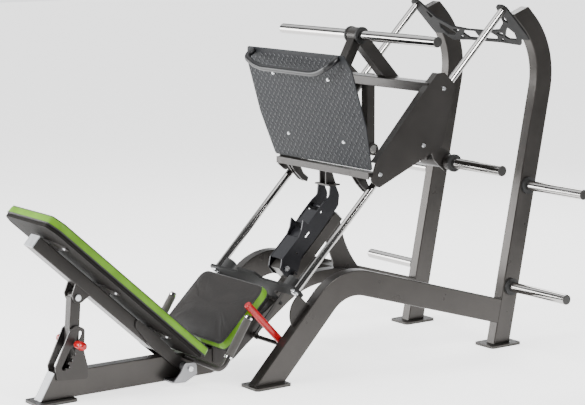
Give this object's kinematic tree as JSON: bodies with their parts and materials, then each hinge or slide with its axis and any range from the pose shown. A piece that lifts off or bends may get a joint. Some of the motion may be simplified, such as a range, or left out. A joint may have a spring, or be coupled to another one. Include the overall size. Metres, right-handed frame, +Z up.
{
  "type": "plate-loaded leg press machine",
  "caption": "Plate-loaded 45 degree leg press: reclined seat with adjustable back, sled with footplate and weight horns on guide rods, safety stop with hand release.",
  "frame": {"origin": "on the floor under the middle of the machine's outer box", "axes": "+X is the seated user's right, where the release handle is; +Y runs from the back pad to the uprights; +Z is up"},
  "size_m": [1.534, 2.7446, 1.6867],
  "materials": {
    "frame_grey": "satin metallic grey powder coat",
    "black_paint": "satin black powder coat",
    "light_paint": "light grey powder coat",
    "hard_chrome": "polished",
    "zinc_steel": "zinc plated",
    "black_rubber": "matt",
    "cap_plastic": "matt",
    "light_plastic": "matt",
    "bush_plastic": "plain",
    "foam_grip": "closed-cell foam",
    "bright_ring": "satin",
    "red_grip": "gloss",
    "dark_leather": "soft grained",
    "board": "black stained plywood",
    "tread_paint": "blue-grey raised tread"
  },
  "bodies": {
    "frame": {"adjuster_plates": "black_paint", "base_beam": "frame_grey", "bumpers": "black_rubber", "centre_arch": "frame_grey", "cross_tube": "frame_grey", "foot_plates": "frame_grey", "guide_rods": "hard_chrome", "lower_rod_plate": "black_paint", "pivot_brackets": "light_paint", "pivot_shaft": "zinc_steel", "rod_gussets": "black_paint", "rod_screws": "zinc_steel", "rubber_feet": "black_rubber", "seat_board": "board", "seat_frame": "black_paint", "seat_handle_grips": "foam_grip", "seat_handle_rings": "bright_ring", "seat_handles": "black_paint", "seat_pad": "dark_leather", "side_arches": "frame_grey", "spine": "frame_grey", "stop_hinge_pin": "zinc_steel", "storage_horn_caps": "cap_plastic", "storage_horn_washers": "black_rubber", "storage_horns": "hard_chrome", "tube_caps": "light_plastic", "upper_rod_plate": "black_paint", "uprights": "frame_grey"},
    "sled": {"bearing_bushes": "bush_plastic", "bearing_housings": "black_paint", "bearing_wipers": "black_rubber", "sled_channel": "black_paint", "sled_collar": "black_paint", "sled_crossbar": "black_paint", "sled_horn_caps": "cap_plastic", "sled_horn_tubes": "black_paint", "sled_horn_washers": "black_rubber", "sled_horns": "hard_chrome", "sled_legs": "black_paint", "sled_screws": "zinc_steel", "sled_side_plates": "black_paint", "footplate": "tread_paint", "footplate_frame": "black_paint", "foot_handle": "black_paint"},
    "backrest": {"back_tube": "black_paint", "back_tube_cap": "light_plastic", "back_arms": "black_paint", "back_pad": "dark_leather", "back_board": "board", "back_tabs": "black_paint", "back_screws": "zinc_steel", "strut_pin": "zinc_steel"},
    "strut": {"strut_tube": "black_paint", "adjuster_peg": "zinc_steel", "peg_grips": "red_grip"},
    "safety_stop": {"stop_plates": "black_paint", "stop_covers": "black_paint"},
    "release_handle": {"release_lever": "black_paint", "release_grip": "red_grip"},
    "release_link": {"release_link": "black_paint"}
  },
  "joints": [
    {"name": "sled_slide", "type": "slide", "parent": "frame", "child": "sled", "axis": [0, 0.7071, 0.7071], "range_m": [0, 0.45]},
    {"name": "backrest_tilt", "type": "hinge", "parent": "frame", "child": "backrest", "pos_m": [0, -0.60462, 0.074], "axis": [-1, 0, 0], "range_deg": [-8, 2]},
    {"name": "strut_turn", "type": "hinge", "parent": "backrest", "child": "strut", "pos_m": [0, -1.1418, 0.46039], "axis": [1, 0, 0], "range_deg": [-7, 2]},
    {"name": "stop_turn", "type": "hinge", "parent": "frame", "child": "safety_stop", "pos_m": [0, -0.02262, 0.465], "axis": [1, 0, 0], "range_deg": [-8, 0], "stiffness_Nm_per_rad": 60, "springref_deg": 28.65},
    {"name": "release_turn", "type": "hinge", "parent": "frame", "child": "release_handle", "pos_m": [0, -0.19762, 0.159], "axis": [1, 0, 0], "range_deg": [0, 20]},
    {"name": "link_turn", "type": "hinge", "parent": "release_handle", "child": "release_link", "pos_m": [0.066, -0.21263, 0.1723], "axis": [1, 0, 0], "range_deg": [-20, 0]}
  ],
  "couplings": [
    {"joint": "strut_turn", "follows": "backrest_tilt", "ratio": 0.847},
    {"joint": "release_turn", "follows": "stop_turn", "ratio": -2.5},
    {"joint": "link_turn", "follows": "stop_turn", "ratio": 2.5}
  ]
}
